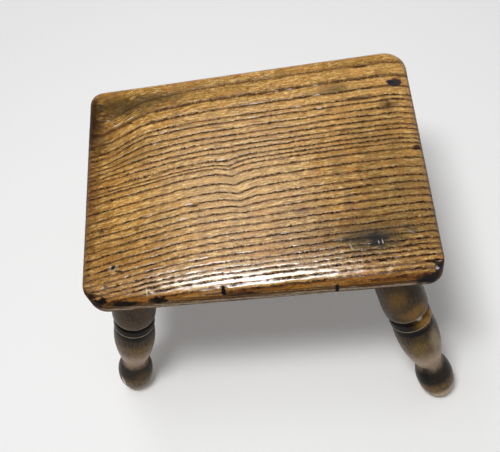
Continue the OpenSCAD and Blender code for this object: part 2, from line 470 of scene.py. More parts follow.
def ringPlace(x, y, depth):
    # where a point's growth ring crosses the middle of the plank; the rings lean through it
    s = seat
    y = y + s["ringLean"] * depth
    at = y.copy()
    for _ in range(4):
        left = s["sweepFrom"] - x
        backShare = smooth(*s["backRings"], at)
        sweep = s["sweepSlope"] * (left + np.hypot(left, s["sweepEase"])) - s["sweepShift"]
        sweep = sweep * (0.5 + 0.5 * smooth(*s["sweepRings"], at)) * (1 - s["backLess"] * backShare)
        sweep = sweep + s["backTurn"] * backShare * smooth(*s["backTurnEnd"], x)
        dipAt = s["dipAt"] + s["dipDrift"] * (s["dipRing"] - at)
        dip = s["dip"] * smooth(*s["dipBehind"], at) * smooth(*s["dipBefore"], at)
        dip = dip * np.exp(-np.hypot(x - dipAt, s["dipBlunt"]) / s["dipReach"])
        hump = np.exp(-((at - s["humpRing"]) / s["humpReach"]) ** 2)
        dip = dip + s["hump"] * hump * smooth(*s["humpEnd"], x)
        more = np.exp(-((at - s["riseRing"]) / s["riseReach"]) ** 2)
        rise = (s["rise"] + s["riseMore"] * more) * smooth(*s["riseEnd"], x)
        lift = s["lift"] * smooth(*s["liftEnd"], x) * smooth(*s["liftRings"], at)
        at = y + sweep + dip - rise + lift
    return at


def growth(x, y, depth):
    # a point's place among the rings, its age in years and the width of its ring
    at = ringPlace(x, y, depth)
    for swing, size, seed in seat["ringWaves"]:
        at = at + swing * (wave(x, at, depth, size, seed) - 0.5)
    edges = seat["firstRing"] + np.concatenate([[0], np.cumsum(seat["ringWidths"])])
    widths = np.array(seat["ringWidths"], float)
    years = np.interp(at, edges, np.arange(len(edges)))
    years = years + np.minimum(at - edges[0], 0) / widths[0] + np.maximum(at - edges[-1], 0) / widths[-1]
    middles = (edges[1:] + edges[:-1]) / 2
    return at, years, np.interp(at, middles, widths)


def ringStrength(x, years, depth):
    # how open the early wood is: it changes slowly along a ring and breaks into short dashes
    ring = np.round(years)
    slow = smooth(0.3, 0.62, wave(x, ring * 7.3, depth, (32, 1, 30), 11))
    dashes = smooth(0.34, 0.58, wave(x, ring * 3.1, depth, (4.5, 1, 7), 13))
    return (0.4 + 0.6 * slow) * (0.3 + 0.7 * dashes) * (0.45 + 0.55 * smooth(-168, -95, x))


def grooveCut(years, width, strength):
    # worn early wood: a steep wall on the near side and a long slope up to the far side
    signed = (years - np.round(years)) * width
    broad = smooth(10, 15, width)
    near = np.exp(-(signed / (seat["grooveNear"] * (1 + 2 * broad))) ** 2)
    far = np.clip(1 - signed / (seat["grooveFar"] * (1 + broad)), 0, 1) ** 2
    return seat["grooveDepth"] * strength * (1 - 0.4 * broad) * np.where(signed < 0, near, far)


def dentCut(x, y, z):
    # depth of the holes, knocks and nicks: each one is a smooth hollow round its own middle
    total = np.zeros(len(x))
    for middle, size, depth, turn in dents.values():
        turn = math.radians(turn)
        along = (x - middle[0]) * math.cos(turn) + (y - middle[1]) * math.sin(turn)
        across = (y - middle[1]) * math.cos(turn) - (x - middle[0]) * math.sin(turn)
        high = (z - middle[2]) / size[2] if len(middle) == 3 else np.where(z < seatTop - 15, 9, 0)
        far = (along / size[0]) ** 2 + (across / size[1]) ** 2 + high ** 2
        total = np.maximum(total, depth * np.exp(-far))
    return total


def plankSkin():
    # points in millimetres above the underside, how far each lies inside the outline, and faces
    s = seat
    columns, rows = s["columns"], s["rows"]
    across, back = np.linspace(0, 1, columns + 1), rowShares(rows)
    sides = [sideSamples(k, shares) for k, shares in enumerate((across, back, across, 1 - back[::-1]))]
    samples = np.concatenate(sides)
    loop = len(samples)
    points, faces = [], []

    def addPoints(x, y, z, inset):
        points.append(np.stack([np.ravel(x), np.ravel(y), np.ravel(z), np.full(np.size(x), float(inset))]))

    def sheet(inset, step):
        # the x and y of a sheet of rows and columns stretched between the four sides
        edge = outline(samples, inset)[::step]
        m, n = columns // step, rows // step
        front = edge[: m + 1]
        right = edge[m: m + n + 1]
        back = edge[m + n: 2 * m + n + 1][::-1]
        left = np.concatenate([edge[2 * m + n:], edge[:1]])[::-1]
        u = np.linspace(0, 1, m + 1)[None, :, None]
        v = rowShares(rows)[::step][:, None, None]
        flat = ((1 - v) * front[None] + v * back[None] + (1 - u) * left[:, None] + u * right[:, None]
                - (1 - u) * (1 - v) * front[0] - u * (1 - v) * front[-1]
                - (1 - u) * v * back[0] - u * v * back[-1])
        return flat[..., 0], flat[..., 1]

    def sheetFaces(m, n, first, upward):
        # lays a sheet's faces and gives the numbers of its edge points, in the order of the samples
        number = first + np.arange((m + 1) * (n + 1)).reshape(n + 1, m + 1)
        corners = [number[:-1, :-1], number[:-1, 1:], number[1:, 1:], number[1:, :-1]]
        quads = np.stack([c.ravel() for c in (corners if upward else corners[::-1])], axis=1)
        faces.extend(quads.tolist())
        return np.concatenate([number[0, :-1], number[:-1, -1], number[-1, :0:-1], number[:0:-1, 0]])

    top = sheet(s["rim"], 1)
    addPoints(*top, seatThick - wearDrop(frontDistance(*top)), s["rim"])
    above = sheetFaces(columns, rows, 0, True)
    total = (columns + 1) * (rows + 1)

    def nextLoop(inset, height):
        # a closed loop round the plank, joined to the one above it
        nonlocal above, total
        x, y = outline(samples, inset).T
        addPoints(x, y, height(x, y) + 0 * x, inset)
        below = total + np.arange(loop)
        after = np.roll(np.arange(loop), -1)
        faces.extend(np.stack([above, below, below[after], above[after]], axis=1).tolist())
        above, total = below, total + loop

    for angle in range(0, 91, 10):
        inset = s["topRound"] * (1 - math.sin(math.radians(angle)))
        nextLoop(inset, lambda x, y: seatThick - topDrop(x, y, inset))
    for step in range(1, s["wallSteps"] + 1):
        share = 1 - step / s["wallSteps"]
        nextLoop(0, lambda x, y: s["bottomRound"]
                 + share * (seatThick - s["bottomRound"] - topDrop(x, y, 0)))
    for angle in range(18, 91, 18):
        inset = s["bottomRound"] * (1 - math.cos(math.radians(angle)))
        nextLoop(inset, lambda x, y: roundDrop(inset, s["bottomRound"]))

    # underside: a coarser sheet, joined to the last loop by fans
    k = s["coarser"]
    under = sheet(2 * s["bottomRound"], k)
    addPoints(*under, 0 * under[0], 2 * s["bottomRound"])
    inner = sheetFaces(columns // k, rows // k, total, False)
    for step, here in enumerate(inner):
        after = inner[(step + 1) % len(inner)]
        outer = [above[(step * k + j) % loop] for j in range(k + 1)]
        for j in range(k):
            faces.append((outer[j], here if j < k // 2 else after, outer[j + 1]))
        faces.append((outer[k // 2], here, after))

    return (*np.concatenate(points, axis=1), [tuple(int(i) for i in face) for face in faces])


def writeAttribute(mesh, name, *columns):
    values = np.stack(columns, axis=1).astype(np.float32).ravel()
    mesh.attributes.new(name, "FLOAT_VECTOR", "POINT").data.foreach_set("vector", values)


def buildSeat():
    x, y, z, inset, faces = plankSkin()
    depth = np.clip(seatThick - topDrop(x, y, np.minimum(inset, seat["rim"])) - z, 0, None)
    at, years, width = growth(x, y, depth)
    points = np.stack([x * mm, y * mm, z * mm + seatLow.z], axis=1)

    mesh = bpy.data.meshes.new("seatPlank")
    mesh.from_pydata(points.tolist(), [], faces)
    mesh.update()
    normals = np.zeros(len(points) * 3, np.float32)
    mesh.vertex_normals.foreach_get("vector", normals)
    normals = normals.reshape(-1, 3)

    # the grooves are faint on the ends and underneath, and the upper surface is a little uneven
    onUnder = z < 0.5
    strength = ringStrength(x, years, depth)
    cut = grooveCut(years, width, strength)
    cut *= np.where(onUnder, 0.15, 1 - 0.6 * np.abs(normals[:, 0])) * (1 - 0.65 * smooth(0.5, 4, depth))
    for swing, size, seed in seat["surfaceWaves"]:
        cut += ~onUnder * swing * wave(x, y, z, size, seed)
    cut = np.maximum(cut, dentCut(x, y, points[:, 2] / mm))
    below = seatTop - points[:, 2] / mm
    points = points - normals * (cut * mm)[:, None]
    points[:, 2] = np.maximum(points[:, 2], seatLow.z)
    mesh.vertices.foreach_set("co", points.astype(np.float32).ravel())
    writeAttribute(mesh, "grain", x * mm, at * mm, z * mm)
    writeAttribute(mesh, "growth", years, width, strength)
    writeAttribute(mesh, "edge", inset, frontDistance(x, y), below)
    mesh.polygons.foreach_set("use_smooth", np.ones(len(mesh.polygons), bool))
    mesh.update()
    return addObject("seatPlank", mesh)


seatFinish = {
    "grain": ((0.48, (108, 74, 28)), (0.56, (164, 120, 50)), (0.63, (206, 162, 86)), (0.71, (246, 210, 138))),
    "warmPatch": (204, 140, 60), "oliveCloud": (146, 112, 44), "ray": (126, 80, 34), "band": (98, 70, 34),
    "rim": (150, 92, 30), "edge": (70, 42, 18), "under": (104, 80, 54),
    # the front face's pale grey stops are a painted reflection of the floor, and its last dark stop painted
    # shade at its foot
    "frontFace": ((0.2, (146, 94, 28)), (0.36, (164, 110, 34)), (0.48, (138, 94, 30)),
                  (0.58, (84, 58, 28)), (0.65, (82, 66, 46)), (0.70, (160, 146, 124)),
                  (0.84, (166, 152, 132)), (0.90, (66, 54, 44))),
    # the lip colour is a painted highlight
    "halo": (86, 48, 28), "lip": (238, 208, 162), "pore": (56, 34, 20),
    # the glint colour is a painted highlight
    "faintLine": (62, 36, 20), "line": (24, 11, 9), "broadLine": (62, 44, 30), "paintedGlint": (226, 216, 206),
    "wax": {"Coat Roughness": 0.18, "Coat IOR": 1.6, "Specular IOR Level": 0.03},
}
# Marks on the plank, laid over each other in this order, in millimetres: middle (with its height
# where it is on an edge), half sizes, colour, how strongly it covers, blur, and where they differ
# from the usual its turn and raggedness. The shades lie under the ring lines, the marks over them
shades = {
    # paler in the middle, partly a painted sheen
    "paleMiddleAndSheen": ((-28, -15), (82, 75), (220, 182, 116), 0.25, 0.7),
    "leftShade": ((-166, 10), (16, 130), (70, 40, 12), 0.75, 0.8),
    "leftUpper": ((-118, 42), (26, 16), (108, 78, 30), 0.35, 0.8),
    "backShade": ((-60, 113), (40, 5), (120, 90, 50), 0.25, 0.8),
    "rightShade": ((152, -34), (60, 64), (134, 118, 80), 0.34, 0.8),
    "backRightPale": ((104, 66), (66, 46), (232, 188, 126), 0.22, 0.7),
    "rightBandA": ((112, 0), (9, 34), (92, 70, 36), 0.32, 0.8),
    "rightBandB": ((84, -6), (7, 22), (98, 76, 40), 0.3, 0.8),
    "rightBandC": ((140, -20), (8, 60), (90, 66, 32), 0.3, 0.8),
    "frontLeftShade": ((-128, -92), (40, 30), (120, 84, 38), 0.3, 0.8),
    "stainReach": ((100, -84), (66, 24), (84, 66, 38), 0.5, 0.8),
    "midSmear": ((48, -52), (9, 3.4), (98, 66, 34), 0.6, 0.6),
}
marks = {
    "backLeftTan": ((-143, 111), (14, 7), (158, 114, 56), 0.7, 0.7),
    "smoke": ((-131, 97), (34, 14), (54, 40, 14), 0.84, 0.7),
    "smokeTail": ((-93, 102), (26, 8), (80, 61, 28), 0.76, 0.7),
    "smokeFoot": ((-153, 66), (13, 28), (66, 42, 16), 0.65, 0.7),
    "smokeEdge": ((-161, 82), (8, 30), (46, 28, 12), 0.88, 0.7),
    "blueSpot": ((-152, 102), (2.6, 3.4), (38, 42, 44), 0.8, 0.5),
    "backPatch": ((92, 84), (14, 5), (92, 76, 42), 0.7, 0.7),
    "backPatchB": ((115, 68.5), (12, 2.6), (62, 44, 26), 0.8, 0.7),
    "backPatchC": ((140, 55), (9, 4), (70, 50, 28), 0.75, 0.8),
    "backPatchD": ((140.5, 57), (2.2, 6), (58, 38, 22), 0.7, 0.7),
    "backPatchE": ((82, 58), (3.5, 2), (72, 50, 28), 0.6, 0.7),
    "brownLens": ((119, 108), (7.5, 1.7), (58, 32, 18), 0.9, 0.4, 0, 0.3),
    "stain": ((108, -89), (19, 10), (62, 56, 44), 0.84, 0.7),
    "stainCore": ((111.5, -91), (9, 7), (36, 37, 39), 0.86, 0.6),
    "stainTail": ((88, -88), (12, 4), (44, 40, 34), 0.6, 0.7),
    "rightSmudge": ((140, -82), (9, 3), (58, 50, 38), 0.6, 0.6, -25),
    "knot": ((150.5, 82), (6.4, 5.2), (40, 39, 46), 0.97, 0.2, 0, 0.3),
    "knotRim": ((146, 84), (4.0, 2.4), (38, 36, 42), 0.95, 0.25, -15, 0.3),
    "pinKnot": ((160, 2), (3.8, 2.8), (36, 24, 18), 0.9, 0.3, 0, 0.4),
    # a paler ring round the nail hole, painted as the highlight on its rim
    "holeHalo": ((-132, -89), (4.4, 3.6), (168, 138, 104), 0.6, 0.4),
    "nailHole": ((-132.3, -88.2), (2.3, 2.0), (22, 20, 22), 1.0, 0.3),
    "slit": ((-127, -93), (3.2, 1.3), (34, 26, 22), 0.9, 0.4, -12),
    "frontLeftKnock": ((-140, -107), (1.6, 3.0), (62, 64, 60), 0.8, 0.5),
    "spotA": ((-145, -49), (3.4, 1.5), (52, 38, 26), 0.8, 0.5),
    "spotB": ((-110, -50), (3.4, 1.4), (40, 28, 22), 0.8, 0.5, 12),
    "spotC": ((-55, -33), (5.4, 1.4), (30, 24, 26), 0.9, 0.5, 6),
    "spotD": ((90, -34), (6.0, 1.1), (34, 26, 22), 0.85, 0.5),
    "paleScratch": ((-101, -115), (0.7, 3.0), (214, 206, 190), 0.7, 0.5),
    "paleScratchB": ((87, -95), (0.8, 4.0), (200, 186, 160), 0.45, 0.6, 20),
    # a painted highlight
    "paintedRightGlint": ((141, -86), (3.0, 0.8), (150, 146, 134), 0.5, 0.6, -35),
    "leftArris": ((-155, -116, 228), (13, 12, 8.5), (22, 13, 9), 0.97, 0.35),
    "cornerNick": ((-143, -118, 232), (4, 5, 3.4), (20, 15, 14), 1.0, 0.3),
    "frontLossB": ((-123, -121, 226), (16, 7, 4.8), (18, 13, 11), 1.0, 0.3),
    "frontLossA": ((-92, -122, 227), (9, 7, 5.0), (18, 13, 11), 1.0, 0.3),
    "frontShade": ((-15, -124, 226), (16, 6, 3.6), (40, 26, 18), 0.8, 0.5),
    "frontNickA": ((-31, -121, 230), (2.0, 6, 5.0), (18, 16, 20), 1.0, 0.3),
    "frontNickB": ((-7, -124, 227), (4.0, 6, 1.8), (24, 18, 18), 0.95, 0.4),
    "frontSplit": ((70.5, -125, 220), (1.9, 6, 9.0), (18, 14, 18), 1.0, 0.3),
    "rightLoss": ((152, -127, 223), (12, 8, 8.5), (24, 24, 26), 0.97, 0.35),
    "rightArris": ((162, -122, 231), (6, 9, 7), (24, 20, 24), 0.95, 0.35),
    "blackDash": ((-119, 75), (3.0, 0.8), (24, 20, 20), 0.9, 0.4, -25),
    "blackDashB": ((-135, 76.5), (2.8, 0.9), (24, 20, 20), 0.85, 0.5, -30),
    "ringDash": ((75, 61.6), (3.4, 0.9), (28, 24, 24), 0.85, 0.5),
}
# painted highlights (glints) on raised edges: middle, half length and width in millimetres, and turn in
# degrees
paintedGlints = (
    ((-133.5, 75), (4.5, 0.7), 25), ((-119, 81.5), (5, 0.5), 24), ((-143, 82), (2.0, 0.7), -20),
    ((8, 79.4), (8, 0.5), 1), ((72, 79.8), (3.6, 0.8), 4), ((53, 68.3), (3, 0.7), 3),
    ((74, 63), (2.6, 0.6), 8), ((5, 62.5), (4, 0.5), 0), ((33, 91.6), (2.2, 0.6), -8),
    ((46, 91.6), (2.8, 0.6), -8), ((72.5, 92), (2.4, 0.6), -8), ((-27, 15.9), (3.6, 0.6), 2),
    ((-84, 58.4), (4, 0.5), 16), ((-93, 45.4), (3.4, 0.6), 18), ((-60, -30), (5, 0.7), 8),
    ((-66, -45), (4, 0.6), 12), ((-98, -37.4), (2.4, 0.6), 14), ((111.6, -93), (0.4, 1.4), 12),
    ((115.2, -93), (0.4, 2.0), 8), ((158.5, -122.5, 233.6), (1.6, 1.6, 1.0), 0),
    ((150.5, -125, 233.4), (3.4, 1.6, 0.6), 0), ((162, -116.5, 235.6), (1.8, 0.5, 1.2), 0),
)


def layMarks(colour, rows, place, grit):
    placeMm = vectorCalc("MULTIPLY", place, (1000, 1000, 1000))

    def lay(under, middle, size, shade, strength, blur, turn=0, ragged=0.7):
        mask = useGroup(treeOf(place), softSpot, {
            "Place": placeMm, "Centre": (*middle, seatTop)[:3], "Size": (*size, 14)[:3],
            "Turn": math.radians(turn), "Blur": blur, "Ragged": ragged, "Grit": grit})["Mask"]
        return cover(under, mask * strength, shade)

    for row in rows:
        colour = lay(colour, *row)
    return colour


def seatMaterial():
    material, tree, shader = newMaterial("waxedPlank")
    shade = seatFinish
    grain, rings, edges = (output(tree, "ShaderNodeAttribute", "Vector", attribute_name=name)
                           for name in ("grain", "growth", "edge"))
    years, width, strength = parts(rings)
    inset, behind, below = parts(edges)
    place = output(tree, "ShaderNodeTexCoord", "Object")
    along = parts(place)[0]
    side = ramp(below, 7, 11)
    under = ramp(below, 27.5, 29.0)

    # signed distance in millimetres from the nearest ring line, positive towards the back
    signed = (years - calc("ROUND", years)) * width
    signed += ramp(noiseAt(grain, (1.6, 0.7, 0.7), 2.0), 0.35, 0.65, -0.8, 0.8, "LINEAR")
    signed += ramp(noiseAt(grain, (8, 3, 3), 2.0), 0.35, 0.65, -0.4, 0.4, "LINEAR")
    broad = ramp(width, 10, 16)
    away = abs(signed) / (broad * 1.4 + 0.88)
    line = ramp(away, 0.5, 1.5, 1.0, 0.0) * ramp(strength, 0.1, 0.6, 0.35, 1.0)
    line *= ramp(noiseAt(grain, (3.2, 1.2, 1.2)), 0.4, 0.54, 0.6, 1.0)
    line *= ramp(width, 15, 22, 1.0, 0.6)
    line *= 1.0 - side * 0.6
    halo = ramp(signed, -3.2, -0.3) * ramp(signed, 0.0, 0.7, 1.0, 0.0)
    # the pale far lip is a painted highlight along each groove's far edge
    lip = ramp(signed, 0.5, 0.9) * ramp(signed, 1.1, 1.9, 1.0, 0.0)
    lip *= strength * (1.0 - broad)
    lip *= ramp(abs(along + 0.02), 0.06, 0.12, 1.0, 0.2)

    fibre = useGroup(tree, woodFibre, {"Place": grain, "Streak Length": 16.0, "Streak Width": 1.1,
                                       "Pore Length": 2.2, "Pore Width": 0.6})
    mottle = noiseAt(grain, (4.5, 1.7, 1.7), 4.0)
    patch = noiseAt(grain, (26, 9, 9))
    rays = noiseAt(grain, (0.9, 4.5, 4.5), 2.0)
    cloud = noiseAt(place, (45, 30, 30))
    bands = noiseAt(place, (11, 110, 60), 2.0)
    grit = noiseAt(place, (7, 3, 5), 4.0, 0.65)

    colour = toneRamp(fibre["Streaks"] * 0.6 + (mottle * 0.46 + 0.07), *shade["grain"])
    colour = cover(colour, ramp(patch, 0.48, 0.66, 0.0, 0.5), shade["warmPatch"])
    colour = cover(colour, ramp(cloud, 0.48, 0.68, 0.0, 0.45), shade["oliveCloud"])
    colour = cover(colour, ramp(rays, 0.54, 0.68, 0.0, 0.55), shade["ray"])
    colour = cover(colour, ramp(bands, 0.45, 0.7, 0.0, 0.3), shade["band"])
    colour = cover(colour, ramp(mottle * 8.0 + inset, 4.0, 18.0, 1.0, 0.0) * 0.45, shade["rim"])
    # darker along the rounded edges: painted shade where the surface turns away
    colour = cover(colour, ramp(inset, 0.5, 4.0, 1.0, 0.0) * 0.75, shade["edge"])

    # the front face in bands from its worn nose down; the pale grey strip low on it is a painted reflection
    # of the floor and the dark line at its foot painted shade
    wobble = ramp(noiseAt(place, (16, 16, 8)), 0.25, 0.75, -0.07, 0.07, "LINEAR")
    face = toneRamp(below * (1 / 30) + wobble, *shade["frontFace"])
    face = cover(face, ramp(mottle, 0.44, 0.62, 0.0, 0.6), shade["edge"])
    colour = blend(ramp(behind, 1.5, 4.0, 1.0, 0.0) * 0.9, colour, face)
    colour = cover(colour, under, shade["under"])

    # ring lines: a purple-brown shade on the near side, the dark open pores, and a pale far lip that is a
    # painted highlight
    colour = layMarks(colour, shades.values(), place, grit)
    colour = cover(colour, halo * 0.7, shade["halo"])
    colour = cover(colour, lip * 0.5, shade["lip"])
    colour = cover(colour, fibre["Pores"] * ramp(away, 0.8, 3.2, 1.0, 0.3), shade["pore"])
    dark = blend(ramp(strength, 0.2, 0.6), paint(*shade["faintLine"]), paint(*shade["line"]))
    colour = blend(line * (broad * -0.15 + 1.0), colour, cover(dark, broad, shade["broadLine"]))
    colour = layMarks(colour, marks.values(), place, grit)
    # painted highlights on raised edges, laid over everything
    colour = layMarks(colour, [(middle, size, shade["paintedGlint"], 0.6, 0.5, turn, 1.0)
                               for middle, size, turn in paintedGlints], place, grit)

    # wax: worn off the sides, the edge and the open pores, thinner at the left end and the back
    waxed = (0.9 - line * 0.85) * (1.0 - side * 0.97) * ramp(inset, 0.5, 5.0, 0.15, 1.0)
    waxed *= ramp(behind, 8.0, 30.0, 1.0, 0.8) * ramp(along, -0.125, -0.05, 0.65, 1.0)
    waxed *= ramp(output(tree, "ShaderNodeRGBToBW", 0, {"Color": colour}), 0.012, 0.06, 0.1, 1.0)
    plug(waxed * (1.0 - under), shader.inputs["Coat Weight"])
    dull = ramp(mottle, 0.3, 0.7, 0.26, 0.36) + line * 0.25 + side * 0.35 + under * 0.2
    height = fibre["Streaks"] * 0.10 + mottle * 0.12 - fibre["Pores"] * 0.12 - line * 0.22
    finishMaterial(shader, colour, dull, height, seatFinish["wax"])
    return material


seatPiece = buildSeat()
seatPiece.data.materials.append(seatMaterial())
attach(seatPiece, "root")
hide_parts("seat")
print("seat made:", len(seatPiece.data.polygons), "faces")

# Legs: turned balusters, each one a grid that is rolled round its axis
turning = {
    "Ball Radius": 19.6, "Ball Half": 36, "Ball Middle": 30,
    "Neck Radius": 13.4, "Neck Length": 1.6,
    "Taper Length": 51, "Swell Radius": 22.1, "Shoulder Length": 24, "Notch Radius": 20.1,
    "Ring Radius": 21.8, "Ring Top Radius": 20.9, "Ring Length": 8,
    "Cove Radius": 18.4, "Cove Length": 8.5, "Lip Ease": 0.8,
    "Barrel Lip Radius": 22.1, "Barrel Radius": 22.8, "Barrel Belly": 12, "Barrel Top Radius": 18.8,
}
legs = {
    "insetLeft": 42.5, "setbackLeft": 41.5, "insetRight": 48.5, "setbackRight": 30.5,
    "leanSideLeft": 14.5, "leanFrontLeft": 8.5, "leanSideRight": 14, "leanFrontRight": 16.9,
    "barrelBow": 1.4, "uneven": 0.45, "around": 96, "rowLength": 0.5,
    "spareBelow": 5, "spareAbove": 15,   # length that the level cuts take off
}
legFinish = {
    "grain": ((0.42, (44, 33, 20)), (0.5, (80, 62, 38)), (0.6, (122, 98, 62))),
    "ochre": (118, 88, 38), "dark": (42, 33, 24), "pore": (16, 12, 9),
    "lip": (212, 190, 146), "lipsAt": (134.2, 150.6),   # edges where the finish has worn off
    "polish": {"Coat Weight": 0.15, "Coat Roughness": 0.1, "Specular IOR Level": 0.03},
}
# bands along every leg, in millimetres: start, end, blur, how strongly it covers and colour
legBands = {
    # the pale neck is partly a painted reflection of the floor
    "paleNeck": (46, 88, 16, 0.7, (174, 152, 130)), "paleFoot": (-20, 12, 8, 0.55, (160, 136, 100)),
    "ballTop": (33, 55, 5, 0.92, (14, 10, 9)), "shoulder": (112, 133, 7, 0.65, (26, 19, 14)),
    # the notch's near-black is painted shade in the groove under the ring
    "notch": (124.5, 133.2, 1.6, 0.9, (6, 6, 8)), "ring": (133.2, 141, 0.6, 0.95, (12, 10, 10)),
    # the cove's near-black is painted shade under the barrel's lip
    "cove": (141, 149.4, 0.5, 0.98, (4, 4, 5)), "barrel": (150, 230, 6, 0.65, (46, 36, 28)),
}
# marks on the front legs, given as the plank's are
legMarks = {
    "barrelOchre": ((124, -125, 178), (9, 9, 13), (120, 88, 34), 0.45, 0.9),
    "barrelGold": ((141, -128, 156), (12, 10, 7), (140, 102, 40), 0.6, 0.8),
    "barrelDark": ((141, -118, 180), (8, 9, 14), (38, 30, 22), 0.6, 0.7),
    "collarGold": ((150, -128, 135), (10, 10, 6), (150, 108, 40), 0.75, 0.7),
    # a painted highlight in the cove
    "paintedCoveGlint": ((146, -130, 142), (3.4, 3.4, 2.2), (206, 206, 208), 0.7, 0.5),
    "olivePatch": ((146, -146, 102), (9, 9, 13), (116, 96, 42), 0.5, 0.8),
    # a painted reflection along the leg's right edge
    "paleSide": ((161, -140, 106), (5, 8, 18), (164, 144, 118), 0.5, 0.7),
    "ballBlack": ((152, -157, 45), (7, 9, 13), (10, 9, 9), 0.9, 0.6),
    "ballTan": ((176, -166, 14), (14, 12, 9), (184, 160, 126), 0.7, 0.7),
    # a painted highlight on the ball
    "paintedBallGlint": ((-181, -124, 29), (1.4, 4, 7), (220, 210, 198), 0.7, 0.5),
    "leftBrown": ((-159, -124, 38), (9, 8, 7), (96, 70, 40), 0.5, 0.8),
}


def makeTurnedLeg():
    tree = bpy.data.node_groups.new("turnedLeg", "GeometryNodeTree")
    tree.interface.new_socket("Geometry", in_out="OUTPUT", socket_type="NodeSocketGeometry")
    for name, size in {**turning, "Axis Length": 220}.items():
        socket = tree.interface.new_socket(name, in_out="INPUT", socket_type="NodeSocketFloat")
        socket.default_value = size * mm
    for name, kind in (("Foot", "Vector"), ("Turn", "Rotation"), ("Wood", "Material"), ("Seed", "Float"),
                       ("Around", "Int"), ("Rows", "Int")):
        tree.interface.new_socket(name, in_out="INPUT", socket_type="NodeSocket" + kind)
    given = fields(tree.nodes.new("NodeGroupInput"))
    neck, swell, notch, ring, ringTop, cove, barrelLip, barrel, barrelTop = (
        given[name + " Radius"] for name in ("Neck", "Swell", "Notch", "Ring", "Ring Top", "Cove",
                                             "Barrel Lip", "Barrel", "Barrel Top"))

    def straight(low, high, share):
        return calc("MULTIPLY_ADD", high - low, share, low)

    def settle(low, high, share):
        # from low to high, easing in at the high end
        return high - (high - low) * calc("POWER", 1.0 - share, 2.0)

    def shareOf(length):
        # how much of that length is passed, counted from where the present part starts
        return calc("DIVIDE", up - start, length, clamp=True)

    def eased(shape):
        # rounds off a part's lower lip
        return shape - given["Lip Ease"] * (1.0 - shareOf(given["Lip Ease"]))

    def addPart(length, shape):
        # the next part of the outline, whose radius follows from the share of its length
        nonlocal start, radius
        radius = output(tree, "GeometryNodeSwitch", 0, {
            "Switch": calc("GREATER_THAN", up, start), "False": radius, "True": shape(shareOf(length))},
            input_type="FLOAT")
        start += length

    def stored(geometry, name, value, kind):
        return output(tree, "GeometryNodeStoreNamedAttribute", 0,
                      {"Geometry": geometry, "Name": name, "Value": value}, data_type=kind)

    grid = output(tree, "GeometryNodeMeshGrid", "Mesh", {
        "Size X": 1.0, "Size Y": 1.0, "Vertices X": given["Around"], "Vertices Y": given["Rows"]})
    spot = parts(output(tree, "GeometryNodeInputPosition", 0))
    long = given["Axis Length"] + (legs["spareBelow"] + legs["spareAbove"]) * mm
    up = calc("MULTIPLY_ADD", spot[1] + 0.5, long, -legs["spareBelow"] * mm)
    angle = (spot[0] + 0.5) * (2 * math.pi)

    # the ball is part of a long ellipse, and the neck starts where the ellipse is as thin as the neck
    lift = (up - given["Ball Middle"]) / given["Ball Half"]
    radius = given["Ball Radius"] * calc("SQRT", calc("MAXIMUM", 0.0, 1.0 - lift * lift))
    thin = calc("POWER", neck / given["Ball Radius"], 2.0)
    start = given["Ball Middle"] + given["Ball Half"] * calc("SQRT", 1.0 - thin)
    addPart(given["Neck Length"], lambda share: neck)
    addPart(given["Taper Length"], lambda share: settle(neck, swell, share))
    addPart(given["Shoulder Length"], lambda share: settle(notch, swell, 1.0 - share))
    addPart(given["Ring Length"], lambda share: eased(straight(ring, ringTop, share)))
    coveEnd = barrelLip - given["Lip Ease"]
    dip = straight(ringTop, coveEnd, 0.5) - cove
    addPart(given["Cove Length"],
            lambda share: straight(ringTop, coveEnd, share) - dip * calc("SINE", share * math.pi))
    addPart(given["Barrel Belly"], lambda share: eased(settle(barrelLip, barrel, share)))
    addPart(given["Axis Length"] - start,
            lambda share: straight(barrel, barrelTop, calc("POWER", share, legs["barrelBow"])))

    # soften the lips, then take off a little at random, as hand turning and wear do
    sharp = stored(grid, "radius", radius, "FLOAT")
    named = output(tree, "GeometryNodeInputNamedAttribute", "Attribute", {"Name": "radius"},
                   data_type="FLOAT")
    blurred = output(tree, "GeometryNodeBlurAttribute", "Value", {"Iterations": 2, "Value": named},
                     data_type="FLOAT")
    soft = stored(sharp, "radius", calc("MINIMUM", blurred, named), "FLOAT")
    cosine, sine = calc("COSINE", angle), calc("SINE", angle)
    around = vectorCalc("MULTIPLY", joined(cosine, sine), (1.6, 1.6, 0))
    drift = vectorCalc("ADD", around, joined(z=calc("MULTIPLY_ADD", up, 45.0, given["Seed"])))
    bumps = output(tree, "ShaderNodeTexNoise", "Fac", {"Vector": drift, "Scale": 1.0, "Detail": 2.0})
    rim = named - bumps * (legs["uneven"] * mm)
    rolled = output(tree, "GeometryNodeSetPosition", 0,
                    {"Geometry": soft, "Position": joined(cosine * rim, sine * rim, up)})
    closed = output(tree, "GeometryNodeMergeByDistance", 0, {"Geometry": rolled, "Distance": 0.00001})
    marked = stored(closed, "turned", output(tree, "GeometryNodeInputPosition", 0), "FLOAT_VECTOR")
    leaned = output(tree, "GeometryNodeTransform", 0,
                    {"Geometry": marked, "Translation": given["Foot"], "Rotation": given["Turn"]})
    real = output(tree, "GeometryNodeRealizeInstances", 0, {"Geometry": leaned})
    wooden = output(tree, "GeometryNodeSetMaterial", 0, {"Geometry": real, "Material": given["Wood"]})
    plug(wooden, addNode(tree, "NodeGroupOutput").inputs[0])
    return tree


def setInputs(modifier, tree, values):
    for item in tree.interface.items_tree:
        if item.item_type == "SOCKET" and item.in_out == "INPUT" and item.name in values:
            modifier[item.identifier] = values[item.name]


